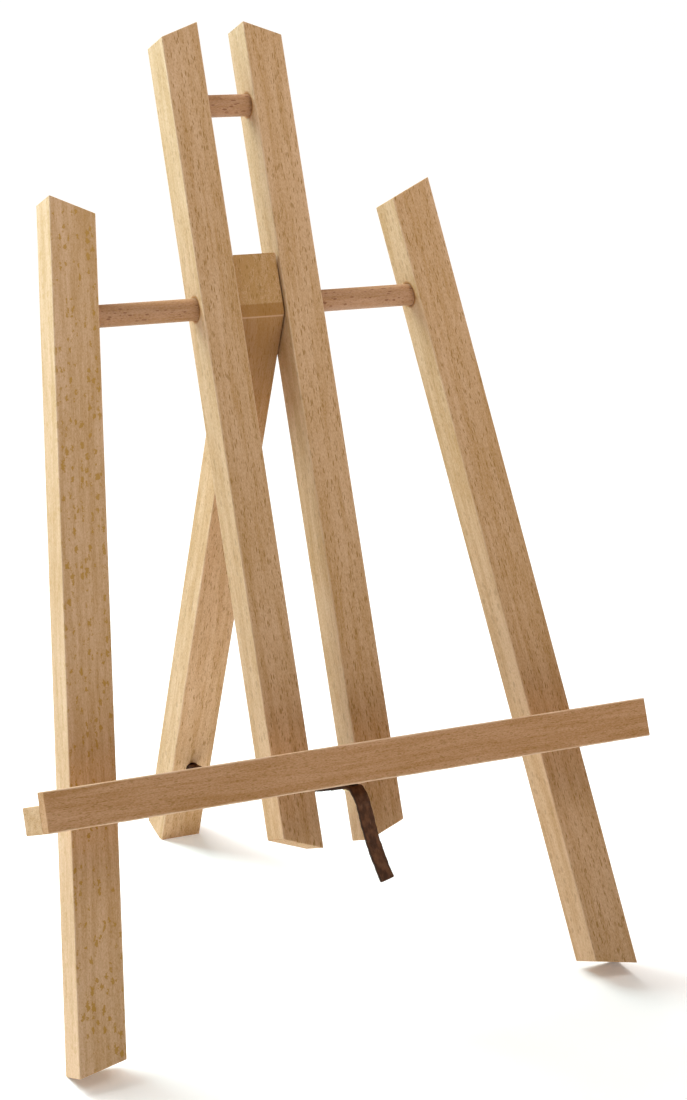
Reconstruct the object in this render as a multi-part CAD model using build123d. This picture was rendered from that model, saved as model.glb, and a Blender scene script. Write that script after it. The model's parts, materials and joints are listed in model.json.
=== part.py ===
from build123d import *
import math
import os

# A tabletop easel: two splayed legs and two upright masts joined by two dowels and a ledge,
# with a rear leg that hinges on the long dowel between the masts and a leather strap that
# stops it from opening too far. Millimetres, +Z up, +X to the right, +Y to the back. The
# origin is under the middle of the open easel, on the table.
#
# The front frame is flat, so its parts are drawn flat and then tilted. In the flat drawing
# x runs to the right, y runs up the frame from the hinge dowel's axis, and z comes forward
# out of the frame from the middle of the bars. The rear leg is drawn flat in the same way.

# Stance
frame_lean = 25.2
rear_leg_lean = 15.5
opening_angle = frame_lean + rear_leg_lean
foot_wear = 0.8

# Bars
bar_thickness = 20.0
front_face = bar_thickness / 2
easing = 0.6
end_easing = 0.35
hole_easing = 0.35

# Masts: the inner edge is the long one, and both ends are cut at an angle
mast_width = 20.0
mast_gap = 24.5
mast_above = 141.0
mast_below = 267.0
mast_cut = 20.0
mast_middle = (mast_gap + mast_width) / 2

# Legs: their tops lean inwards, and the outer edge is the long one
leg_width = 23.0
leg_offset = 97.0
leg_splay = 6.65
leg_above = 57.0
leg_below = 354.5
leg_cut = 18.0

# Rear leg: its top is mitred to lie just behind the masts' front faces when the easel is open
rear_leg_width = 23.0
mitre_setback = 2.4
mitre_facet = 1.0
rear_foot_cut = 3.0

# Dowels
dowel_radius = 5.5
glue_clearance = 0.02
running_clearance = 0.06
top_dowel_height = 101.0
leg_hole_depth = 14.0
mast_hole_depth = 12.0

# Ledge: a shelf on the fronts of the bars, and a taller lip along its front
ledge_length = 316.0
ledge_drop = 238.6
shelf_depth = 24.5
shelf_height = 13.0
lip_thickness = 8.5
lip_height = 19.0
ledge_easing = 0.8

# Screws that hold the shelf from behind
screw_shank_radius = 1.75
screw_head_radius = 3.6
screw_head_height = 2.4
screw_bite = 14.0
screw_slot_width = 1.0
screw_slot_depth = 1.1

# Leather strap
strap_width = 7.2
strap_thickness = 2.0
strap_hole_radius = 3.0
strap_hole_drop = 281.0
plug_radius = 2.9
knot_radius = 6.0
knot_height = 9.0
knot_inset = 1.0
tack_head_radius = 3.2
tack_head_height = 1.4
tack_shank_radius = 0.9
tack_bite = 9.0
tack_forward = 12.0
# the free tail's runs, from just past the tack: to the right, down the frame, forward
tail_start = 13.1
tail_runs = [
    (0.0, 0.0, 4.6),
    (0.7, 3.3, 3.3),
    (1.4, 5.7, 0.0),
    (0.9, 10.0, -0.2),
    (1.8, 13.0, -0.2),
    (3.4, 14.3, 0.9),
]
# how much of the shorter run beside a corner its arc takes
arc_share = 0.45

table_size = 1000.0

lean = math.radians(frame_lean)
leg_lowest = leg_below * math.cos(math.radians(leg_splay)) - leg_width / 2 * math.sin(math.radians(leg_splay))
hinge_height = leg_lowest * math.cos(lean) + front_face * math.sin(lean) - foot_wear


def end_faces(bar, along):
    """The faces at the bar's two ends, lowest first."""
    return bar.faces().filter_by(lambda face: abs(face.normal_at().dot(along.direction)) > 0.5).sort_by(along)


def eased(bar, radius, along, ends):
    """The bar with the edges of these ends broken, and its long edges rounded."""
    bar = chamfer([edge for face in ends for edge in face.edges()], end_easing)
    return fillet(bar.edges().filter_by(along, tolerance=1e-4), radius)


def drilled(bar, *holes):
    """The bar with round holes, and the edges of their open mouths broken."""
    for hole in holes:
        bar -= hole
    blind_ends = [face.edges()[0] for face in bar.faces() if len(face.edges()) == 1]
    rings = bar.edges().filter_by(GeomType.CIRCLE) + bar.edges().filter_by(GeomType.ELLIPSE)
    return chamfer([ring for ring in rings if ring.is_closed and ring not in blind_ends], hole_easing)


def rod(radius, start, end):
    """A round rod from one point to the other."""
    way = end - start
    return Plane(origin=start, z_dir=way) * Cylinder(
        radius, way.length, align=(Align.CENTER, Align.CENTER, Align.MIN)
    )


def level_hole(reach, clearance):
    """A dowel's hole, from the middle of the easel out to both sides."""
    return rod(dowel_radius + clearance, Vector(-reach, 0, 0), Vector(reach, 0, 0))


def dowel_reach():
    """How far the long dowel's ends are from the middle: to the bottoms of the legs' blind holes."""
    return leg_offset - leg_width / 2 + leg_hole_depth


def mast(side):
    """One upright, with its long edge towards the middle. side is -1 on the left and 1 on the right."""
    slope = mast_width * math.tan(math.radians(mast_cut))
    inner = side * mast_gap / 2
    outer = side * (mast_gap / 2 + mast_width)
    outline = Polyline(
        (inner, mast_above), (outer, mast_above - slope), (outer, slope - mast_below), (inner, -mast_below), close=True
    )
    bar = extrude(make_face(outline), front_face, both=True)
    bar = eased(bar, easing, Axis.Y, end_faces(bar, Axis.Y))
    blind = mast_gap / 2 + mast_hole_depth
    upper_hole = Pos(0, top_dowel_height, 0) * level_hole(blind, glue_clearance)
    bar = drilled(bar, level_hole(dowel_reach(), glue_clearance), upper_hole)
    return bar - shelf_screw_hole(side * mast_middle)


def leg_middle(height):
    """How far out the middle of a leg is, at a height above the hinge."""
    return leg_offset - height * math.tan(math.radians(leg_splay))


def leg(side):
    """One splayed leg, with its long edge on the outside."""
    slope = leg_width * math.tan(math.radians(leg_cut))
    half = leg_width / 2
    outline = Polyline(
        (half, leg_above), (-half, leg_above - slope), (-half, slope - leg_below), (half, -leg_below), close=True
    )
    bar = extrude(make_face(outline), front_face, both=True)
    bar = eased(bar, easing, Axis.Y, end_faces(bar, Axis.Y))
    bar = Pos(leg_offset, 0, 0) * Rot(0, 0, leg_splay) * bar
    if side < 0:
        bar = mirror(bar, Plane.YZ)
    bar = drilled(bar, level_hole(dowel_reach(), glue_clearance))
    return bar - shelf_screw_hole(side * leg_middle(screw_level()))


def screw_level():
    """The screws' height on the frame: the middle of the shelf."""
    return shelf_height / 2 - ledge_drop


def screw_outline(clearance):
    """Half of a countersunk screw's section, head at z = 0 and tip at the far end."""
    reach = bar_thickness + screw_bite + clearance
    neck = screw_head_height + clearance
    shank = screw_shank_radius + clearance
    return Polyline(
        (0, 0), (screw_head_radius + clearance, 0), (shank, neck), (shank, reach - 2 * shank), (0, reach), close=True
    )


def turned_screw(across, clearance):
    """A screw's solid of revolution, entering the back of a bar at this distance from the middle."""
    body = revolve(Plane.XZ * make_face(screw_outline(clearance)), Axis.Z)
    return Pos(across, screw_level(), -front_face) * body


def shelf_screw_hole(across):
    """The countersunk hole that one shelf screw needs."""
    return turned_screw(across, glue_clearance)


def screw_places():
    """Where the four shelf screws are, from left to right."""
    leg_place = leg_middle(screw_level())
    return [-leg_place, -mast_middle, mast_middle, leg_place]


def shelf_screw(across):
    """One countersunk screw with a slotted head, flush with the back of its bar."""
    slot = Box(
        3 * screw_head_radius, screw_slot_width, screw_slot_depth, align=(Align.CENTER, Align.CENTER, Align.MIN)
    )
    return turned_screw(across, 0) - Pos(across, screw_level(), -front_face) * slot


def rear_leg():
    """The hinged leg in its own flat drawing: y up the leg from the hinge, z towards its front face."""
    fan = math.radians(opening_angle)
    mitre = front_face - mitre_setback

    def mitre_height(forward):
        return (mitre - forward * math.cos(fan)) / math.sin(fan)

    corner = mitre_height(front_face)
    facet = Vector(corner + mitre_facet * math.cos(fan), front_face - mitre_facet * math.sin(fan))
    foot_slope = bar_thickness * math.tan(math.radians(rear_foot_cut))
    foot = -rear_leg_below()
    outline = Polyline(
        (foot, front_face),
        (corner - mitre_facet, front_face),
        (facet.X, facet.Y),
        (mitre_height(-front_face), -front_face),
        (foot - foot_slope, -front_face),
        close=True,
    )
    side_view = Plane(origin=(0, 0, 0), x_dir=(0, 1, 0), z_dir=(1, 0, 0))
    bar = extrude(side_view * make_face(outline), rear_leg_width / 2, both=True)
    bar = eased(bar, easing, Axis.Y, end_faces(bar, Axis.Y)[:1])
    strap_hole = rod(strap_hole_radius, Vector(0, 0, -bar_thickness), Vector(0, 0, bar_thickness))
    return drilled(bar, level_hole(rear_leg_width, running_clearance), Pos(0, -strap_hole_drop, 0) * strap_hole)


def rear_leg_below():
    """The rear leg's length below the hinge, which puts its front bottom edge just below the table."""
    tilt = math.radians(rear_leg_lean)
    return (hinge_height + foot_wear - front_face * math.sin(tilt)) / math.cos(tilt)


def shelf():
    """The flat batten that a canvas stands on, screwed to the fronts of the four bars."""
    batten = Box(ledge_length, shelf_height, shelf_depth, align=(Align.CENTER, Align.MIN, Align.MIN))
    batten = eased(batten, ledge_easing, Axis.X, end_faces(batten, Axis.X))
    batten = Pos(0, -ledge_drop, front_face) * batten
    for across in screw_places():
        batten -= shelf_screw_hole(across)
    return batten - tack_body(glue_clearance)


def lip():
    """The taller batten along the shelf's front edge, which keeps the canvas on."""
    batten = Box(ledge_length, lip_height, lip_thickness, align=(Align.CENTER, Align.MIN, Align.MIN))
    batten = eased(batten, ledge_easing, Axis.X, end_faces(batten, Axis.X))
    return Pos(0, -ledge_drop, front_face + shelf_depth) * batten


def long_dowel():
    """The hinge dowel, glued into the legs and masts, with the rear leg turning on it."""
    return rod(dowel_radius, Vector(-dowel_reach(), 0, 0), Vector(dowel_reach(), 0, 0))


def top_dowel():
    """The short dowel between the masts."""
    reach = mast_gap / 2 + mast_hole_depth
    return Pos(0, top_dowel_height, 0) * rod(dowel_radius, Vector(-reach, 0, 0), Vector(reach, 0, 0))


def tack_body(clearance):
    """The tack that holds the strap up against the shelf: a low domed head and a round shank."""
    under_strap = -ledge_drop - strap_thickness
    shank = rod(
        tack_shank_radius + clearance, Vector(0, under_strap, 0), Vector(0, under_strap + tack_bite + clearance, 0)
    )
    head = Pos(0, under_strap, 0) * Rot(90, 0, 0) * domed_head()
    return Pos(0, 0, front_face + tack_forward) * (shank + head)


def domed_head():
    """A low dome on a flat base at z = 0."""
    radius = (tack_head_radius**2 + tack_head_height**2) / (2 * tack_head_height)
    ball = Pos(0, 0, tack_head_height - radius) * Sphere(radius)
    keep = Box(
        4 * tack_head_radius, 4 * tack_head_radius, tack_head_height, align=(Align.CENTER, Align.CENTER, Align.MIN)
    )
    return ball & keep


def on_frame(across, up, forward):
    """A point of the frame's flat drawing, in the open easel's own axes, hinge at the origin."""
    return Vector(
        across,
        up * math.sin(lean) - forward * math.cos(lean),
        up * math.cos(lean) + forward * math.sin(lean),
    )


def on_rear_leg(up, forward):
    """A point in the middle of the rear leg's flat drawing, in the open easel's own axes, hinge at the origin."""
    tilt = math.radians(rear_leg_lean)
    return Vector(
        0,
        -up * math.sin(tilt) - forward * math.cos(tilt),
        up * math.cos(tilt) - forward * math.sin(tilt),
    )


def strap_level():
    """The height of the strap's middle where it lies against the shelf."""
    return -ledge_drop - strap_thickness / 2


def ribbon(path):
    """The flat strap along a path."""
    section = Plane(origin=path @ 0, x_dir=(1, 0, 0), z_dir=path % 0) * Rectangle(strap_width, strap_thickness)
    return sweep(section, path=path)


def strap():
    """The strap from the rear leg's hole to the shelf, and along under it as far as the tack."""
    # it starts inside the rear leg, and is cut off flush with that leg's front face
    start = on_rear_leg(-strap_hole_drop, front_face - strap_thickness)
    back_edge = on_frame(0, strap_level(), front_face)
    span = TangentArc(back_edge, start, tangent=on_frame(0, 0, -1))
    under = Line(back_edge, on_frame(0, strap_level(), front_face + tail_start))
    return ribbon(span) + ribbon(under)


def strap_tail():
    """The strap's free end: it folds down past the tack and hangs, a little to the right."""
    across, up, forward = 0.0, strap_level(), front_face + tail_start
    route = [on_frame(across, up, forward)]
    for aside, drop, out in tail_runs:
        across, up, forward = across + aside, up - drop, forward + out
        route.append(on_frame(across, up, forward))
    runs = [end - start for start, end in zip(route, route[1:])]
    radii = []
    for before, after in zip(runs, runs[1:]):
        half_turn = math.radians(before.get_angle(after)) / 2
        radii.append(arc_share * min(before.length, after.length) / math.tan(half_turn))
    print("tail runs", [round(run.length, 1) for run in runs], "radii", [round(radius, 1) for radius in radii])
    return ribbon(FilletPolyline(*route, radius=radii))


def strap_knot():
    """The strap's end: rolled up to pass through the rear leg, and knotted behind it."""
    plug = rod(plug_radius, Vector(0, 0, -front_face), Vector(0, 0, front_face))
    knot = scale(Sphere(knot_radius), by=(1, 1, knot_height / 2 / knot_radius))
    behind = Box(4 * knot_radius, 4 * knot_radius, 2 * knot_height, align=(Align.CENTER, Align.CENTER, Align.MAX))
    knot = Pos(0, 0, knot_inset - front_face - knot_height / 2) * knot & Pos(0, 0, -front_face) * behind
    return Pos(0, -strap_hole_drop, 0) * (plug + knot)


def main():
    hinge = Vector(0, 0, hinge_height)
    frame_plane = Plane(origin=hinge, x_dir=(1, 0, 0), z_dir=(0, -math.cos(lean), math.sin(lean)))
    rear_tilt = math.radians(rear_leg_lean)
    rear_plane = Plane(origin=hinge, x_dir=(1, 0, 0), z_dir=(0, -math.cos(rear_tilt), -math.sin(rear_tilt)))
    strap_plane = Plane(origin=hinge)

    parts = {
        "left_leg": frame_plane * leg(-1),
        "right_leg": frame_plane * leg(1),
        "left_mast": frame_plane * mast(-1),
        "right_mast": frame_plane * mast(1),
        "long_dowel": frame_plane * long_dowel(),
        "top_dowel": frame_plane * top_dowel(),
        "shelf": frame_plane * shelf(),
        "lip": frame_plane * lip(),
        "rear_leg": rear_plane * rear_leg(),
        "strap": strap_plane * strap(),
        "strap_tail": strap_plane * strap_tail(),
        "strap_knot": rear_plane * strap_knot(),
        "strap_tack": frame_plane * tack_body(0),
    }
    for number, across in enumerate(screw_places(), start=1):
        parts[f"shelf_screw_{number}"] = frame_plane * shelf_screw(across)

    leg_space = Box(4 * rear_leg_width, 4 * rear_leg_width, bar_thickness)
    parts["strap"] -= rear_plane * Pos(0, -strap_hole_drop, 0) * leg_space
    parts["strap"] -= frame_plane * tack_body(glue_clearance)

    # the feet are trimmed where they stand on the table
    table = Box(table_size, table_size, table_size / 10, align=(Align.CENTER, Align.CENTER, Align.MAX))
    for name in ("left_leg", "right_leg", "rear_leg"):
        parts[name] -= table

    # everything moves forward or back so that the origin is under the middle of the open easel
    boxes = [part.bounding_box() for part in parts.values()]
    middle = (min(box.min.Y for box in boxes) + max(box.max.Y for box in boxes)) / 2
    os.makedirs("parts", exist_ok=True)
    for name, part in parts.items():
        export_step(Pos(0, -middle, 0) * part, f"parts/{name}.step")

    print("hinge axis", round(-middle, 3), round(hinge_height, 3))
    shelf_top = on_frame(0, shelf_height - ledge_drop, front_face + shelf_depth / 2) + hinge - Vector(0, middle, 0)
    print("top of the shelf", [round(value, 3) for value in shelf_top])


main()
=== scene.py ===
import json
import math

import bpy
import numpy as np
from mathutils import Matrix, Vector


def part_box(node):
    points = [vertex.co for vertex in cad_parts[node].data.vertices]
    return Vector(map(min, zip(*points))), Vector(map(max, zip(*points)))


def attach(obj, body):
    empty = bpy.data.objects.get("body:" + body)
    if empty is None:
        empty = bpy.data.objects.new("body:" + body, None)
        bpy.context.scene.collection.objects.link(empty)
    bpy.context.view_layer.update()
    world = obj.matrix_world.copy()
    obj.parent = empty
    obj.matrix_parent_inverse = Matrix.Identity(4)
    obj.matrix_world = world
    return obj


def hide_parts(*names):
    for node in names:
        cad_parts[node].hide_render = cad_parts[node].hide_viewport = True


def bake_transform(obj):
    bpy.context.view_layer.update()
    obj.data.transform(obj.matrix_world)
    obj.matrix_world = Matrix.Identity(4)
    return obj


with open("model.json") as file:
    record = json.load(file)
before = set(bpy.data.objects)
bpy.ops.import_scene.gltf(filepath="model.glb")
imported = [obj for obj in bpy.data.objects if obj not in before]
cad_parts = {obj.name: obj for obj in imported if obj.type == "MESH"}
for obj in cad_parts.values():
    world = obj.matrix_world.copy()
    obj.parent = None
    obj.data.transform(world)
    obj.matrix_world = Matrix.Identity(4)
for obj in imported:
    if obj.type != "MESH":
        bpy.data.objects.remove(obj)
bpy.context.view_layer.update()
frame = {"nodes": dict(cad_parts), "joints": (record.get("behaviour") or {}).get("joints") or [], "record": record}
nodes = frame["nodes"]
scene = bpy.context.scene

# ---------------------------------------------------------------------------------------
# The viewpoint: a person a little to the left of the easel, looking down on it. The lens
# is a short telephoto, so the upright bars draw together only a little.

camera_data = bpy.data.cameras.new("viewpoint")
camera_data.sensor_width = 36.0
camera_data.lens = 82.11
camera = bpy.data.objects.new("viewpoint", camera_data)
camera.location = (-0.5088, -1.0683, 0.5978)
camera.rotation_euler = [math.radians(angle) for angle in (71.607, -2.279, -26.394)]
scene.collection.objects.link(camera)
scene.camera = camera

# ---------------------------------------------------------------------------------------
# The table and the room: a white table top in a white room that gives little light itself, a
# broad high lamp behind, window lamps on the left that make the bars' left sides the brightest,
# a warm lamp over the front that fades down the bars, and a faint glow under the easel.

scene.view_settings.view_transform = "Standard"
room = bpy.data.worlds.new("room")
room.use_nodes = True
room_nodes = room.node_tree.nodes
room_links = room.node_tree.links
room_light = room_nodes["Background"]
room_light.inputs["Color"].default_value = (1.0, 0.91, 0.82, 1.0)
room_light.inputs["Strength"].default_value = 0.24
room_wall = room_nodes.new("ShaderNodeBackground")
room_wall.inputs["Color"].default_value = (1.0, 1.0, 1.0, 1.0)
seen_directly = room_nodes.new("ShaderNodeLightPath").outputs["Is Camera Ray"]
wall_or_light = room_nodes.new("ShaderNodeMixShader")
room_links.new(seen_directly, wall_or_light.inputs[0])
room_links.new(room_light.outputs[0], wall_or_light.inputs[1])
room_links.new(room_wall.outputs[0], wall_or_light.inputs[2])
room_links.new(wall_or_light.outputs[0], room_nodes["World Output"].inputs["Surface"])
scene.world = room

reach = 20
table_corners = [(-reach, -reach, 0), (reach, -reach, 0), (reach, reach, 0), (-reach, reach, 0)]
table_mesh = bpy.data.meshes.new("table")
table_mesh.from_pydata(table_corners, [], [(0, 1, 2, 3)])
table = bpy.data.objects.new("table", table_mesh)
scene.collection.objects.link(table)
table_white = bpy.data.materials.new("table_white")
table_white.use_nodes = True
table_surface = table_white.node_tree.nodes["Principled BSDF"].inputs
table_surface["Base Color"].default_value = (0.96, 0.96, 0.96, 1.0)
table_surface["Roughness"].default_value = 0.9
table_surface["Emission Color"].default_value = (1.0, 1.0, 1.0, 1.0)
table_surface["Emission Strength"].default_value = 0.14
table_mesh.materials.append(table_white)


def lamp(name, kind, place, aim, power, tint):
    """A lamp of this kind at a place, facing a point, that the camera doesn't see."""
    light = bpy.data.lights.new(name, kind)
    light.energy = power
    light.color = tint
    holder = bpy.data.objects.new(name, light)
    holder.location = place
    holder.rotation_euler = (Vector(place) - Vector(aim)).to_track_quat("Z", "Y").to_euler()
    holder.visible_camera = False
    scene.collection.objects.link(holder)
    return light


lamp("sky", "SUN", (-0.25, 0.60, 0.76), (0, 0, 0), 3.0, (1.0, 0.99, 0.98)).angle = math.radians(50)
lamp("window_behind", "AREA", (-0.36, 0.52, 0.62), (0.0, 0.0, 0.28), 4.9, (0.68, 1.03, 1.09)).size = 0.35
lamp("window_left", "AREA", (-0.60, 0.02, 0.56), (0.0, 0.0, 0.32), 0.65, (0.68, 1.02, 1.08)).size = 0.35
lamp("over_front", "AREA", (0.23, -0.38, 0.78), (0.0, 0.02, 0.38), 1.85, (1.0, 0.95, 0.89)).size = 0.40
lamp("table_glow", "AREA", (0.0, 0.02, 0.015), (0.0, 0.12, 0.03), 0.012, (1.0, 0.95, 0.85)).size = 0.08

# ---------------------------------------------------------------------------------------
# The wood: steamed beech, planed and sanded, with no varnish. Each bar is cut from its own
# place in a log, so its streaks and its short dark rays show differently on each face.


def node_group(name, sockets_in, sockets_out):
    """An empty shader group with these named inputs (kind, default) and outputs (kind)."""
    group = bpy.data.node_groups.new(name, "ShaderNodeTree")
    for label, (kind, default) in sockets_in.items():
        socket = group.interface.new_socket(label, in_out="INPUT", socket_type=kind)
        if default is not None:
            socket.default_value = default
    for label, kind in sockets_out.items():
        group.interface.new_socket(label, in_out="OUTPUT", socket_type=kind)
    return group, group.nodes.new("NodeGroupInput").outputs, group.nodes.new("NodeGroupOutput").inputs


def add(tree, kind, settings=None, **inputs):
    """A new node: its settings, and its inputs by name, or by number as i0, i1, each a value or a socket."""
    node = tree.nodes.new(kind)
    for setting, value in (settings or {}).items():
        setattr(node, setting, value)
    for label, value in inputs.items():
        socket = node.inputs[int(label[1:])] if label[1:].isdigit() else node.inputs[label.replace("_", " ")]
        if isinstance(value, bpy.types.NodeSocket):
            tree.links.new(value, socket)
        else:
            socket.default_value = value
    return node


def sums(tree, operation, first, second=0.0, third=0.0):
    """What one Math node gives."""
    return add(tree, "ShaderNodeMath", {"operation": operation}, i0=first, i1=second, i2=third).outputs[0]


def vectors(tree, operation, first, second=(0, 0, 0), third=(0, 0, 0)):
    """What one Vector Math node gives, as a vector."""
    settings = {"operation": operation}
    return add(tree, "ShaderNodeVectorMath", settings, i0=first, i1=second, i2=third).outputs[0]


def ramp(tree, value, low, high):
    """0 at low, 1 at high, and an S curve between: 3t^2 - 2t^3. Low may be the larger one."""
    settings = {"interpolation_type": "SMOOTHSTEP"}
    node = add(tree, "ShaderNodeMapRange", settings, Value=value, From_Min=low, From_Max=high)
    return node.outputs["Result"]


def noise(tree, vector, cell, detail=3.0):
    """Noise whose blotches have about this size, in metres, on each axis."""
    scaled = vectors(tree, "DIVIDE", vector, cell)
    return add(tree, "ShaderNodeTexNoise", Vector=scaled, Scale=1.0, Detail=detail, Roughness=0.6)


def blend_colour(tree, share, first, second):
    """The first colour turning into the second one as the share goes from 0 to 1."""
    return add(tree, "ShaderNodeMix", {"data_type": "RGBA"}, Factor=share, i6=first, i7=second).outputs[2]


def wander_of(tree, vector, cell, detail):
    """A vector that wanders round zero in blotches of about this size, in metres."""
    return vectors(tree, "SUBTRACT", noise(tree, vector, cell, detail).outputs["Color"], (0.5, 0.5, 0.5))


# In the log, X runs round the rings, Y up the grain and Z out from the pith. A ray is a thin
# upright ribbon that runs outwards: a short dark line on a face along the rings, and a broad
# faint fleck on a face across them. Facing is the surface's own direction in the bar.
beech, beech_in, beech_out = node_group(
    "beech",
    {
        "Log": ("NodeSocketVector", None),
        "Facing": ("NodeSocketVector", None),
        "Pale": ("NodeSocketColor", None),
        "Deep": ("NodeSocketColor", None),
        "Ray": ("NodeSocketColor", (0.29, 0.145, 0.025, 1.0)),
        "Ray cell": ("NodeSocketVector", (0.00062, 0.0044, 0.0030)),
        "Ray size": ("NodeSocketFloat", 0.52),
        "Ray depth": ("NodeSocketFloat", 0.92),
        "Fray": ("NodeSocketFloat", 1.0),
        "End depth": ("NodeSocketFloat", 0.08),
    },
    {"Color": "NodeSocketColor", "Roughness": "NodeSocketFloat", "Height": "NodeSocketFloat"},
)
log = beech_in["Log"]
facing = vectors(beech, "ABSOLUTE", beech_in["Facing"])
facing = add(beech, "ShaderNodeSeparateXYZ", Vector=facing)
end_grain = ramp(beech, facing.outputs["Y"], 0.12, 0.34)
side_face = ramp(beech, facing.outputs["X"], 0.5, 0.9)

sway = wander_of(beech, log, (0.04, 0.15, 0.04), 1.0)
swayed = vectors(beech, "MULTIPLY_ADD", sway, (0.006, 0.0, 0.006), log)
fray = wander_of(beech, log, (0.0013, 0.0016, 0.0013), 2.0)
fray = add(beech, "ShaderNodeVectorMath", {"operation": "SCALE"}, i0=fray, Scale=beech_in["Fray"]).outputs[0]
frayed = vectors(beech, "MULTIPLY_ADD", fray, (0.0003, 0.0010, 0.0005), swayed)

fibres = noise(beech, swayed, (0.0006, 0.016, 0.0008), 4.0).outputs["Fac"]
speckle = noise(beech, swayed, (0.0005, 0.0012, 0.0006)).outputs["Fac"]
streaks = noise(beech, swayed, (0.0032, 0.055, 0.0060)).outputs["Fac"]
drift = noise(beech, log, (0.020, 0.11, 0.020), 2.0).outputs["Fac"]

in_ray_cells = vectors(beech, "DIVIDE", frayed, beech_in["Ray cell"])
ray_cells = add(beech, "ShaderNodeTexVoronoi", Vector=in_ray_cells, Scale=1.0)
ray_luck = add(beech, "ShaderNodeSeparateColor", Color=ray_cells.outputs["Color"]).outputs["Red"]
ray_reach = sums(beech, "MULTIPLY", sums(beech, "SUBTRACT", ray_luck, 0.22), beech_in["Ray size"])
ray = ramp(beech, sums(beech, "SUBTRACT", ray_reach, ray_cells.outputs["Distance"]), -0.10, 0.08)
in_fine_cells = vectors(beech, "DIVIDE", frayed, (0.00045, 0.0024, 0.0015))
fine_cells = add(beech, "ShaderNodeTexVoronoi", Vector=in_fine_cells, Scale=1.0)
fine_ray = ramp(beech, fine_cells.outputs["Distance"], 0.36, 0.10)

tone = sums(beech, "MULTIPLY", ramp(beech, fibres, 0.30, 0.72), 0.26)
tone = sums(beech, "MULTIPLY_ADD", ramp(beech, speckle, 0.30, 0.70), 0.42, tone)
tone = sums(beech, "MULTIPLY_ADD", ramp(beech, streaks, 0.38, 0.66), 0.34, tone)
tone = sums(beech, "MULTIPLY_ADD", ramp(beech, drift, 0.30, 0.70), 0.18, tone)
tone = sums(beech, "MULTIPLY_ADD", end_grain, beech_in["End depth"], tone)
colour = blend_colour(beech, tone, beech_in["Pale"], beech_in["Deep"])
ray_share = sums(beech, "MULTIPLY", ray, beech_in["Ray depth"])
ray_share = sums(beech, "MAXIMUM", ray_share, sums(beech, "MULTIPLY", fine_ray, 0.55))
ray_share = sums(beech, "MULTIPLY", ray_share, sums(beech, "MULTIPLY_ADD", side_face, -0.55, 1.0))
colour = blend_colour(beech, ray_share, colour, beech_in["Ray"])
beech.links.new(colour, beech_out["Color"])
roughness = sums(beech, "MULTIPLY_ADD", fibres, 0.16, sums(beech, "MULTIPLY_ADD", end_grain, 0.15, 0.50))
beech.links.new(sums(beech, "MULTIPLY_ADD", ray, -0.08, roughness), beech_out["Roughness"])
height = sums(beech, "MULTIPLY_ADD", fibres, 0.6, sums(beech, "MULTIPLY", ray_share, -0.5))
beech.links.new(sums(beech, "MULTIPLY_ADD", speckle, 0.4, height), beech_out["Height"])

# Along its eased edges a bar is painted a little paler, unevenly: partly rubbing wear, partly a
# painted highlight where the eased edges catch the light. A point is near an edge where it is near a
# side face and near the front or back at once.
pale_edges, pale_edges_in, pale_edges_out = node_group(
    "rubbed_and_highlit_edges",
    {
        "Bar": ("NodeSocketVector", None),
        "Half size": ("NodeSocketVector", None),
        "Color": ("NodeSocketColor", None),
        "Rubbed and highlit": ("NodeSocketColor", None),
        "Share": ("NodeSocketFloat", 0.4),
    },
    {"Color": "NodeSocketColor"},
)
away = vectors(pale_edges, "SUBTRACT", pale_edges_in["Half size"], vectors(pale_edges, "ABSOLUTE", pale_edges_in["Bar"]))
away = add(pale_edges, "ShaderNodeSeparateXYZ", Vector=away)
wander = noise(pale_edges, pale_edges_in["Bar"], (0.003, 0.012, 0.003)).outputs["Fac"]
from_edge = sums(pale_edges, "MAXIMUM", away.outputs["X"], away.outputs["Z"])
edge = ramp(pale_edges, sums(pale_edges, "MULTIPLY_ADD", wander, 0.0014, from_edge), 0.0017, 0.0007)
edge_share = sums(pale_edges, "MULTIPLY", edge, pale_edges_in["Share"])
colour = blend_colour(pale_edges, edge_share, pale_edges_in["Color"], pale_edges_in["Rubbed and highlit"])
pale_edges.links.new(colour, pale_edges_out["Color"])

# Round the mouth of a dowel's hole the wood is painted an uneven ring of darker brown.
mouth_ring_group, mouth_ring_in, mouth_ring_out = node_group(
    "dark_mouth_ring",
    {
        "Place": ("NodeSocketVector", None),
        "Mouth": ("NodeSocketVector", None),
        "Color": ("NodeSocketColor", None),
    },
    {"Color": "NodeSocketColor"},
)
from_mouth = vectors(mouth_ring_group, "SUBTRACT", mouth_ring_in["Place"], mouth_ring_in["Mouth"])
from_mouth = add(mouth_ring_group, "ShaderNodeVectorMath", {"operation": "LENGTH"}, i0=from_mouth).outputs["Value"]
wander = noise(mouth_ring_group, mouth_ring_in["Place"], (0.002, 0.002, 0.002)).outputs["Fac"]
# a darker brown ring, unevenly wide, round the mouth
ring = ramp(mouth_ring_group, sums(mouth_ring_group, "MULTIPLY_ADD", wander, 0.0012, from_mouth), 0.0080, 0.0068)
ring_share = sums(mouth_ring_group, "MULTIPLY", ring, 0.9)
colour = blend_colour(mouth_ring_group, ring_share, mouth_ring_in["Color"], (0.36, 0.145, 0.025, 1.0))
mouth_ring_group.links.new(colour, mouth_ring_out["Color"])

# The bars and the mouths of their holes are placed from the middles of the two dowels.
hinge = Vector(frame["joints"][0]["pos_m"])
low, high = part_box("top_dowel")
top_dowel_middle = (Vector(low) + Vector(high)) / 2


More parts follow.
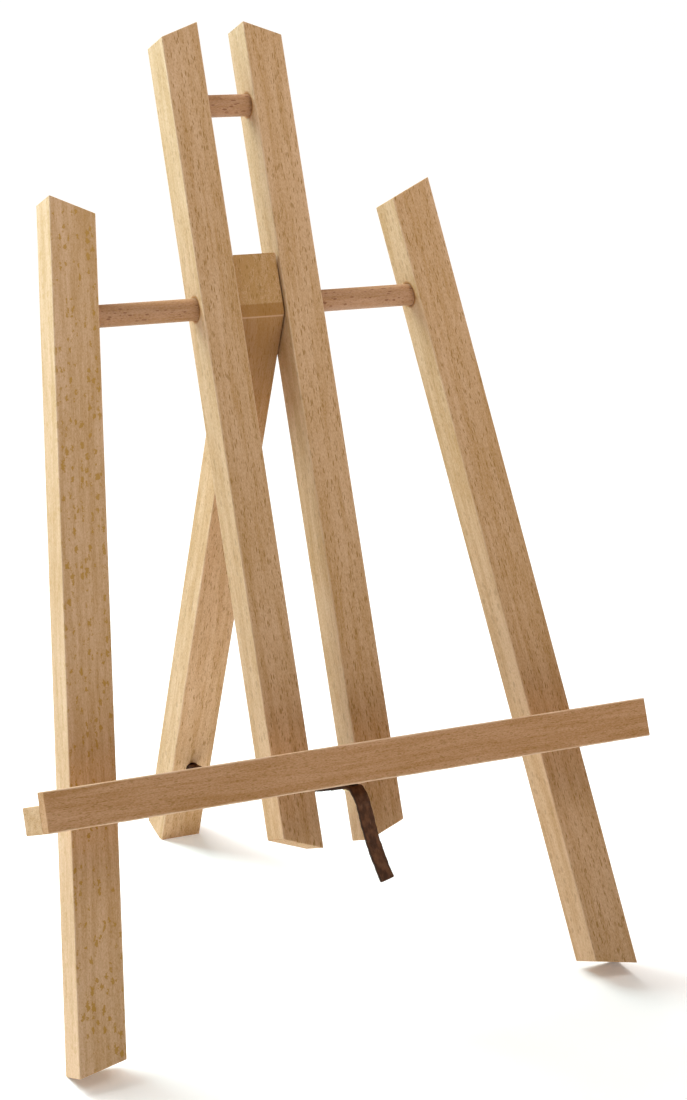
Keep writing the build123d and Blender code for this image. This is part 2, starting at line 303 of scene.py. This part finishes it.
def arris_highlight_and_shade(tree, bar, arris, colour):
    """The colour with a pale line across the bar at this height, where its front face ends in a corner:
    partly rubbing, partly a painted highlight on the rounded corner. On the front, from 5 mm above it,
    fading out 100 mm below it, it gets painted shade for the masts' shadow, darker and browner."""
    own = add(tree, "ShaderNodeSeparateXYZ", Vector=bar)
    above = sums(tree, "SUBTRACT", own.outputs["Y"], arris)
    # painted shade on the front below the corner, where it lies in the masts' shadow
    painted_shade = sums(tree, "MULTIPLY", ramp(tree, above, -0.100, -0.002), ramp(tree, above, 0.0056, 0.0050))
    painted_shade = sums(tree, "MULTIPLY", painted_shade, ramp(tree, own.outputs["Z"], 0.0050, 0.0060))
    colour = blend_colour(tree, sums(tree, "MULTIPLY", painted_shade, 0.65), colour, (0.29, 0.125, 0.020, 1.0))
    # the pale line along the corner: partly rubbing, partly a painted highlight
    line = ramp(tree, sums(tree, "ABSOLUTE", above), 0.0006, 0.0001)
    line = sums(tree, "MULTIPLY", line, ramp(tree, own.outputs["Z"], 0.0090, 0.0095))
    return blend_colour(tree, sums(tree, "MULTIPLY", line, 0.4), colour, (0.76, 0.50, 0.34, 1.0))


def beech_finish(
    name, middle, turn, half_size, cut, pith, shade=(1.0, 1.0, 1.0), mouths=(), rub_and_highlight=0.4, arris=None, **rays
):
    """A beech material for one piece. Middle and turn give its own axes, with Y along the grain; cut
    turns it in the log about its grain, pith moves it in the log, and shade tints the whole of it.
    How strongly its edges are painted paler, partly for rubbing and partly as a painted highlight, is the
    edge share; arris is how far up its front face ends in a corner, with a pale line there and painted shade
    below it."""
    material = bpy.data.materials.new(name + "_beech")
    material.use_nodes = True
    tree = material.node_tree
    bsdf = tree.nodes["Principled BSDF"]
    bsdf.inputs["IOR"].default_value = 1.42
    bsdf.inputs["Specular IOR Level"].default_value = 0.35
    coordinates = add(tree, "ShaderNodeTexCoord").outputs
    place, direction = coordinates["Object"], coordinates["Normal"]
    own_axes = {"vector_type": "TEXTURE"}
    bar = add(tree, "ShaderNodeMapping", own_axes, Vector=place, Location=middle, Rotation=turn).outputs[0]
    facing = add(tree, "ShaderNodeMapping", own_axes, Vector=direction, Rotation=turn).outputs[0]
    in_log = {"vector_type": "POINT"}
    log = add(tree, "ShaderNodeMapping", in_log, Vector=bar, Location=pith, Rotation=(0, cut, 0)).outputs[0]
    grain = add(tree, "ShaderNodeGroup", {"node_tree": beech}, Log=log, Facing=facing, **rays)
    grain.inputs["Pale"].default_value = (0.670 * shade[0], 0.442 * shade[1], 0.278 * shade[2], 1.0)
    grain.inputs["Deep"].default_value = (0.440 * shade[0], 0.243 * shade[1], 0.088 * shade[2], 1.0)
    # the edges painted paler: partly rubbing wear, partly a painted highlight
    edges = add(tree, "ShaderNodeGroup", {"node_tree": pale_edges}, Bar=bar, Color=grain.outputs["Color"])
    edges.inputs["Half size"].default_value = half_size
    edges.inputs["Rubbed and highlit"].default_value = (0.76, 0.55, 0.38, 1.0)
    edges.inputs["Share"].default_value = rub_and_highlight
    colour = edges.outputs["Color"]
    for mouth in mouths:
        ring = add(tree, "ShaderNodeGroup", {"node_tree": mouth_ring_group}, Place=place, Mouth=mouth, Color=colour)
        colour = ring.outputs["Color"]
    # the pale line at the corner, and painted shade on the front below it
    if arris is not None:
        colour = arris_highlight_and_shade(tree, bar, arris, colour)
    bump = add(tree, "ShaderNodeBump", Height=grain.outputs["Height"], Distance=0.00012, Strength=0.8)
    tree.links.new(colour, bsdf.inputs["Base Color"])
    tree.links.new(grain.outputs["Roughness"], bsdf.inputs["Roughness"])
    tree.links.new(bump.outputs["Normal"], bsdf.inputs["Normal"])
    return material


def finish(node, material):
    """Gives a CAD node this material in every one of its slots."""
    for position in range(len(node.data.materials)):
        node.data.materials[position] = material


# ---------------------------------------------------------------------------------------
# The two splayed legs and the two masts: beech bars 20 mm thick, all in one leaning plane
# and glued on the long dowel. The left leg is cut nearer to the rays, so its front is
# mottled with broad golden flecks instead of fine dashes.

up_frame = Vector(frame["record"]["mounts"][0]["axis"])
out_frame = Vector((1, 0, 0)).cross(up_frame)
frame_tilt = math.atan2(up_frame.z, up_frame.y)
leg_splay = math.radians(6.65)
leg_offset = 0.097
leg_half = (0.0115, 1.0, 0.010)
mast_offset = 0.02225
mast_half = (0.010, 1.0, 0.010)


def lean(tilt, splay):
    """The turn of a bar that lies in a plane tilted about X, and is turned by splay in that plane."""
    return (Matrix.Rotation(tilt, 3, "X") @ Matrix.Rotation(splay, 3, "Z")).to_euler()


golden = {
    "Ray": (0.42, 0.215, 0.020, 1.0),
    "Ray_cell": (0.0023, 0.0037, 0.0040),
    "Ray_size": 0.60,
    "Ray_depth": 0.80,
    "Fray": 7.0,
}
for name, side, cut, pith, shade, rays in (
    ("left_leg", -1, 0.30, (0.3, 0.1, 0.055), (1.07, 1.09, 1.14), golden),
    ("right_leg", 1, 0.10, (1.1, 0.6, 0.070), (1.0, 1.0, 1.0), {}),
):
    place = hinge + Vector((side * leg_offset, 0, 0))
    turn = lean(frame_tilt, side * leg_splay)
    mouth = hinge + Vector((side * (leg_offset - leg_half[0] / math.cos(leg_splay)), 0, 0))
    finish(nodes[name], beech_finish(name, place, turn, leg_half, cut, pith, shade, (mouth,), **rays))

for name, side, cut, pith in (
    ("left_mast", -1, 0.22, (2.3, 0.2, 0.06)),
    ("right_mast", 1, -0.30, (3.2, 0.8, 0.05)),
):
    place = hinge + Vector((side * mast_offset, 0, 0))
    turn = lean(frame_tilt, 0.0)
    inner = Vector((side * (mast_offset - mast_half[0]), 0, 0))
    outer = Vector((side * (mast_offset + mast_half[0]), 0, 0))
    mouths = (hinge + inner, hinge + outer, top_dowel_middle + inner)
    finish(nodes[name], beech_finish(name, place, turn, mast_half, cut, pith, mouths=mouths))

# ---------------------------------------------------------------------------------------
# The rear leg: a beech bar that turns on the long dowel between the masts, with its top
# mitred and a hole near its foot for the strap.

rear_leg_lean = math.radians(15.5)
rear_leg_arris = -0.00097
turn = lean(math.pi / 2 + rear_leg_lean, 0.0)
# Its front below the mitre's corner gets painted shade for the masts' shadow, and a pale line along the corner,
# partly rubbing and partly a painted highlight.
rear_leg_beech = beech_finish(
    "rear_leg", hinge, turn, leg_half, 0.15, (4.4, 0.3, 0.08), arris=rear_leg_arris, End_depth=0.40
)
finish(nodes["rear_leg"], rear_leg_beech)

# ---------------------------------------------------------------------------------------
# The two dowels: turned beech rods, a little redder than the bars, with the grain along
# them. The long one is glued in the legs and masts, and is the rear leg's hinge pin.

across = lean(frame_tilt, -math.pi / 2)
no_edges = (1.0, 1.0, 1.0)
shade = (0.80, 0.72, 0.72)
rays = {"Ray": (0.24, 0.10, 0.045, 1.0), "Ray_cell": (0.0010, 0.0034, 0.0020)}
for name, middle, pith in (
    ("long_dowel", hinge, (5.2, 0.4, 0.04)),
    ("top_dowel", top_dowel_middle, (6.1, 0.7, 0.05)),
):
    finish(nodes[name], beech_finish(name, middle, across, no_edges, 0.4, pith, shade, **rays))

# ---------------------------------------------------------------------------------------
# The ledge: a shelf screwed to the fronts of the bars from behind, and a lip glued along
# its front edge. Both are beech with the grain running across the easel, and the lip is
# the darkest and reddest stick of the lot.

rays = {"Ray_cell": (0.0007, 0.0028, 0.0030), "Ray_depth": 0.62}
for name, half_size, cut, pith, shade in (
    ("shelf", (0.0065, 1.0, 0.01225), 0.05, (7.3, 0.2, 0.06), (0.97, 0.97, 0.97)),
    ("lip", (0.0095, 1.0, 0.00425), 0.12, (8.1, 0.5, 0.09), (0.91, 0.81, 0.75)),
):
    low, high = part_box(name)
    middle = (Vector(low) + Vector(high)) / 2
    # the ledge's edges are painted paler still: partly rubbing wear, partly a painted highlight along them
    finish(nodes[name], beech_finish(name, middle, across, half_size, cut, pith, shade, rub_and_highlight=0.85, **rays))

# ---------------------------------------------------------------------------------------
# The fastenings: four zinc-plated countersunk screws, flush with the backs of the bars, and
# a domed brass tack that holds the strap up under the shelf.


def metal_finish(name, colour, shade, roughness):
    """A metal of this colour, with a duller film of another shade in patches."""
    material = bpy.data.materials.new(name)
    material.use_nodes = True
    tree = material.node_tree
    bsdf = tree.nodes["Principled BSDF"]
    bsdf.inputs["Metallic"].default_value = 1.0
    place = add(tree, "ShaderNodeTexCoord").outputs["Object"]
    film = noise(tree, place, (0.0012, 0.0012, 0.0012), 4.0).outputs["Fac"]
    colour = blend_colour(tree, ramp(tree, film, 0.42, 0.68), colour, shade)
    tree.links.new(colour, bsdf.inputs["Base Color"])
    tree.links.new(sums(tree, "MULTIPLY_ADD", film, 0.25, roughness), bsdf.inputs["Roughness"])
    bump = add(tree, "ShaderNodeBump", Height=film, Distance=0.00003, Strength=0.5)
    tree.links.new(bump.outputs["Normal"], bsdf.inputs["Normal"])
    return material


zinc = metal_finish("zinc", (0.62, 0.62, 0.60, 1.0), (0.40, 0.39, 0.36, 1.0), 0.22)
brass = metal_finish("brass", (0.60, 0.44, 0.20, 1.0), (0.34, 0.23, 0.10, 1.0), 0.20)
for number in (1, 2, 3, 4):
    finish(nodes[f"shelf_screw_{number}"], zinc)
finish(nodes["strap_tack"], brass)

# ---------------------------------------------------------------------------------------
# The strap: one length of dark brown leather lace, 7.2 mm wide and 2 mm thick. It is knotted
# behind the rear leg, goes through that leg's hole, across to the shelf and along under it to
# the tack, and its cut end hangs down past the tack. Its raw edges are painted darker: partly
# the raw edge's own colour, partly painted shade along the strap's sides.

leather_half_width = 0.0036
leather_half_height = 0.0010
leather = bpy.data.materials.new("dark_leather")
leather.use_nodes = True
tree = leather.node_tree
bsdf = tree.nodes["Principled BSDF"]
bsdf.inputs["IOR"].default_value = 1.45
bsdf.inputs["Specular IOR Level"].default_value = 0.30
# lay holds how far each point of the strap is across (-1 to 1), along (in metres) and up (-1 to 1)
lay = add(tree, "ShaderNodeAttribute", {"attribute_name": "lay"}).outputs["Vector"]
lay_parts = add(tree, "ShaderNodeSeparateXYZ", Vector=vectors(tree, "ABSOLUTE", lay))
flat_lay = vectors(tree, "MULTIPLY", lay, (leather_half_width, 1.0, leather_half_height))
mottle = noise(tree, flat_lay, (0.0035, 0.006, 0.01)).outputs["Fac"]
scuffs = noise(tree, flat_lay, (0.0009, 0.0045, 0.003), 4.0).outputs["Fac"]
in_pebbles = vectors(tree, "DIVIDE", flat_lay, (0.0006, 0.0007, 0.0006))
pebbles = add(tree, "ShaderNodeTexVoronoi", Vector=in_pebbles, Scale=1.0).outputs["Distance"]
creases = noise(tree, flat_lay, (0.006, 0.0009, 0.003), 2.0).outputs["Fac"]
dark_brown, brown = (0.058, 0.020, 0.006, 1.0), (0.140, 0.055, 0.022, 1.0)
colour = blend_colour(tree, ramp(tree, mottle, 0.36, 0.66), dark_brown, brown)
scuffed = sums(tree, "MULTIPLY", ramp(tree, scuffs, 0.55, 0.78), 0.45)
colour = blend_colour(tree, scuffed, colour, (0.21, 0.105, 0.070, 1.0))
# the sides painted darker: partly the raw edge's colour, partly painted shade along them
raw_edge_and_shade = ramp(tree, lay_parts.outputs["X"], 0.86, 0.97)
colour = blend_colour(tree, sums(tree, "MULTIPLY", raw_edge_and_shade, 0.75), colour, (0.030, 0.011, 0.006, 1.0))
tree.links.new(colour, bsdf.inputs["Base Color"])
roughness = sums(tree, "MULTIPLY_ADD", scuffs, 0.25, sums(tree, "MULTIPLY_ADD", raw_edge_and_shade, 0.2, 0.46))
tree.links.new(roughness, bsdf.inputs["Roughness"])
height = sums(tree, "MULTIPLY_ADD", pebbles, -0.5, sums(tree, "MULTIPLY", creases, 0.8))
bump = add(tree, "ShaderNodeBump", Height=height, Distance=0.00022, Strength=0.8)
tree.links.new(bump.outputs["Normal"], bsdf.inputs["Normal"])


def distances(line):
    """How far along a line of points each of them is."""
    return np.concatenate([[0.0], np.cumsum(np.linalg.norm(np.diff(line, axis=0), axis=1))])


def points_at(line, places):
    """The points at these distances along a line of points."""
    gone = distances(line)
    return np.stack([np.interp(places, gone, line[:, axis]) for axis in range(3)], axis=1)


def strip(name, line, half_width, half_height, cup, wave=0.00012, width_way=(1, 0, 0)):
    """A leather strip along a line of points. Each cross-section is the superellipse
    |x/a|^8 + |z/b|^8 = 1, with x towards width_way as nearly as the line allows, and dished by cup times
    (x/a)^2. Low waves run along it, and its ends close over a quarter round. Half width, half height
    and cup are numbers, or functions of the distance along as a share of the length."""
    line = np.asarray(line, float)
    length = distances(line)[-1]
    end_round = 0.0006
    first_ring = 0.0008
    ring_step = 0.0007
    rounding = end_round * (1 - np.cos(np.linspace(0.35, math.pi / 2, 5)))
    even = np.linspace(first_ring, length - first_ring, max(24, int(length / ring_step)))
    along = np.concatenate([rounding, even, (length - rounding)[::-1]])
    middle = points_at(line, along)
    ahead = np.gradient(middle, along, axis=0)
    ahead /= np.linalg.norm(ahead, axis=1)[:, None]
    width_way = np.broadcast_to(np.asarray(width_way, float), middle.shape)
    sideways = width_way - np.sum(width_way * ahead, axis=1)[:, None] * ahead
    sideways /= np.linalg.norm(sideways, axis=1)[:, None]
    outward = np.cross(sideways, ahead)

    share = along / length
    to_end = np.minimum(along, length - along).clip(0, end_round) / end_round
    inset = 1 - np.sqrt(1 - (1 - to_end) ** 2)
    half_width, half_height, cup = (
        np.broadcast_to(size(share) if callable(size) else size, share.shape)[:, None]
        for size in (half_width, half_height, cup)
    )
    inset, far = inset[:, None], along[:, None]
    angle = np.linspace(0, 2 * math.pi, 40, endpoint=False)
    x = np.sign(np.cos(angle)) * np.abs(np.cos(angle)) ** 0.25
    z = np.sign(np.sin(angle)) * np.abs(np.sin(angle)) ** 0.25
    wide = (half_width - end_round * inset) * x
    ripple = wave * (np.sin(far * 830) + np.sin(far * 410 + 1.7 * x) + np.sin(far * 1490 + 2))
    tall = half_height * (1 - 0.55 * inset) * z + cup * x**2 + ripple
    points = middle[:, None] + wide[..., None] * sideways[:, None] + tall[..., None] * outward[:, None]

    rings, around = wide.shape
    corner = np.arange(rings * around).reshape(rings, around)
    following = np.roll(corner, -1, axis=1)
    quads = np.stack([corner[:-1], corner[1:], following[1:], following[:-1]], axis=-1).reshape(-1, 4)
    points = np.concatenate([points.reshape(-1, 3), middle[:1], middle[-1:]])
    first_cap = [(rings * around, int(corner[0, i]), int(following[0, i])) for i in range(around)]
    last_cap = [(rings * around + 1, int(following[-1, i]), int(corner[-1, i])) for i in range(around)]
    mesh = bpy.data.meshes.new(name)
    mesh.from_pydata(points.tolist(), [], quads.tolist() + first_cap + last_cap)
    mesh.polygons.foreach_set("use_smooth", [True] * len(mesh.polygons))
    lay = np.stack(np.broadcast_arrays(x, far, z), axis=-1)
    lay = np.concatenate([lay.reshape(-1, 3), [(0, 0, 0), (0, length, 0)]])
    mesh.attributes.new("lay", "FLOAT_VECTOR", "POINT").data.foreach_set("vector", lay.ravel())
    mesh.materials.append(leather)
    piece = bpy.data.objects.new(name, mesh)
    scene.collection.objects.link(piece)
    return piece


def on_frame(right, up, forward):
    """A point of the front frame, from the hinge: to the right, up the frame and out of its front."""
    return hinge + Vector((right, 0, 0)) + up * up_frame + forward * out_frame


def smoothed(line, reach):
    """The line with its corners rounded: each point is the mean of those within reach along it."""
    line = np.asarray(line, float)
    step = 0.0005
    length = distances(line)[-1]
    fine = points_at(line, np.linspace(0, length, int(length / step)))
    half = int(reach / step)
    padded = np.concatenate([2 * fine[:1] - fine[half:0:-1], fine, 2 * fine[-1:] - fine[-2 : -half - 2 : -1]])
    window = np.ones(2 * half + 1) / (2 * half + 1)
    return np.stack([np.convolve(padded[:, axis], window, "valid") for axis in range(3)], axis=1)


# the strap itself: along under the shelf, then across to the rear leg with a little sag, and
# into the hole, where its edges curl in
strap_up = -0.2396
shelf_back = 0.010
tail_forward = 0.0231
hole_drop = 0.2810
leg_half_thickness = 0.010
under_tail = 0.0004
into_hole = 0.0075
span_half_width = 0.00355
span_half_height = 0.00096
down_rear_leg = Vector((0, math.sin(rear_leg_lean), -math.cos(rear_leg_lean)))
through_hole = Vector((0, math.cos(rear_leg_lean), math.sin(rear_leg_lean)))
mouth = hinge + hole_drop * down_rear_leg - leg_half_thickness * through_hole
back_edge = on_frame(0, strap_up, shelf_back)
half_span = (mouth - back_edge).length / 2
bend = back_edge - half_span * out_frame
t = np.linspace(0, 1, 40)[:, None]
sag = (1 - t) ** 2 * np.array(back_edge) + 2 * t * (1 - t) * np.array(bend) + t**2 * np.array(mouth)
front_end = on_frame(0, strap_up, tail_forward + under_tail)
hole_end = mouth + into_hole * through_hole


def curl(share):
    """How far the edges have curled in at this share of the length: 3t^2 - 2t^3 from 0.86 to 0.94."""
    t = np.clip((share - 0.86) / 0.08, 0, 1)
    return t**2 * (3 - 2 * t)


strap = strip(
    "leather_strap",
    smoothed(np.concatenate([[front_end], sag, [hole_end]]), 0.004),
    lambda share: span_half_width - 0.00115 * curl(share),
    lambda share: span_half_height + 0.0002 * curl(share),
    lambda share: 0.0008 * curl(share),
    0.00008,
)
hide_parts("strap")
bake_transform(strap)

# the free end: over the edge of the tack's head and down, swinging a little to the right. The
# runs go to the right, down the frame, and out of its front.
route = [on_frame(0, strap_up, tail_forward)]
for right, down, out in (
    (0.0, 0.0, 0.0046),
    (0.0007, 0.0033, 0.0033),
    (0.0014, 0.0057, 0.0),
    (0.0009, 0.0100, -0.0002),
    (0.0018, 0.0130, -0.0002),
    (0.0034, 0.0143, 0.0009),
):
    route.append(route[-1] + Vector((right, 0, 0)) - down * up_frame + out * out_frame)
tail_curve = bpy.data.curves.new("tail_route", "CURVE")
tail_curve.dimensions = "3D"
spline = tail_curve.splines.new("NURBS")
spline.points.add(len(route) - 1)
for point, place in zip(spline.points, route):
    point.co = (*place, 1.0)
spline.order_u = 3
spline.use_endpoint_u = True
spline.resolution_u = 24
tail_route = bpy.data.objects.new("tail_route", tail_curve)
scene.collection.objects.link(tail_route)
bpy.context.view_layer.update()
tail_mesh = bpy.data.meshes.new_from_object(tail_route)
tail_line = [vertex.co.copy() for vertex in tail_mesh.vertices]
bpy.data.objects.remove(tail_route)
tail = strip("leather_strap_end", tail_line, leather_half_width, leather_half_height, 0.0002)
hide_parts("strap_tail")
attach(tail, "frame")

# the knot behind the rear leg: the lace rolled up in the hole, then tied in an overhand knot,
# which is a trefoil, with its last few millimetres left sticking out
knot_centre = hinge + hole_drop * down_rear_leg + (leg_half_thickness + 0.0037) * through_hole
t = np.linspace(0, 2 * math.pi, 181)
trefoil = np.stack([np.sin(t) + 2 * np.sin(2 * t), np.cos(t) - 2 * np.cos(2 * t), -np.sin(3 * t)], axis=1)
knot_scale = (0.00135, 0.00135, 0.0019)
knot_axes = np.array([(1, 0, 0), down_rear_leg, through_hole])
knot_line = np.array(knot_centre) + (trefoil * knot_scale) @ knot_axes
plug_line = [knot_centre - (leg_half_thickness + 0.0070) * through_hole, knot_centre + 0.001 * through_hole]
end_line = [
    knot_centre + 0.0022 * down_rear_leg,
    knot_centre + 0.0062 * down_rear_leg + 0.0016 * through_hole,
    knot_centre + 0.0120 * down_rear_leg + 0.0006 * through_hole + Vector((0.0016, 0, 0)),
]
for name, line, wide, tall, width_way in (
    ("strap_knot_loops", knot_line, 0.0021, 0.0013, tuple(through_hole)),
    ("strap_knot_plug", plug_line, 0.0024, 0.0021, (1, 0, 0)),
    ("strap_knot_end", smoothed(end_line, 0.002), 0.0030, 0.0010, (1, 0, 0)),
):
    part_of_knot = strip(name, line, wide, tall, 0.0002, 0.00004, width_way)
    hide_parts("strap_knot")
    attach(part_of_knot, "rear_leg")
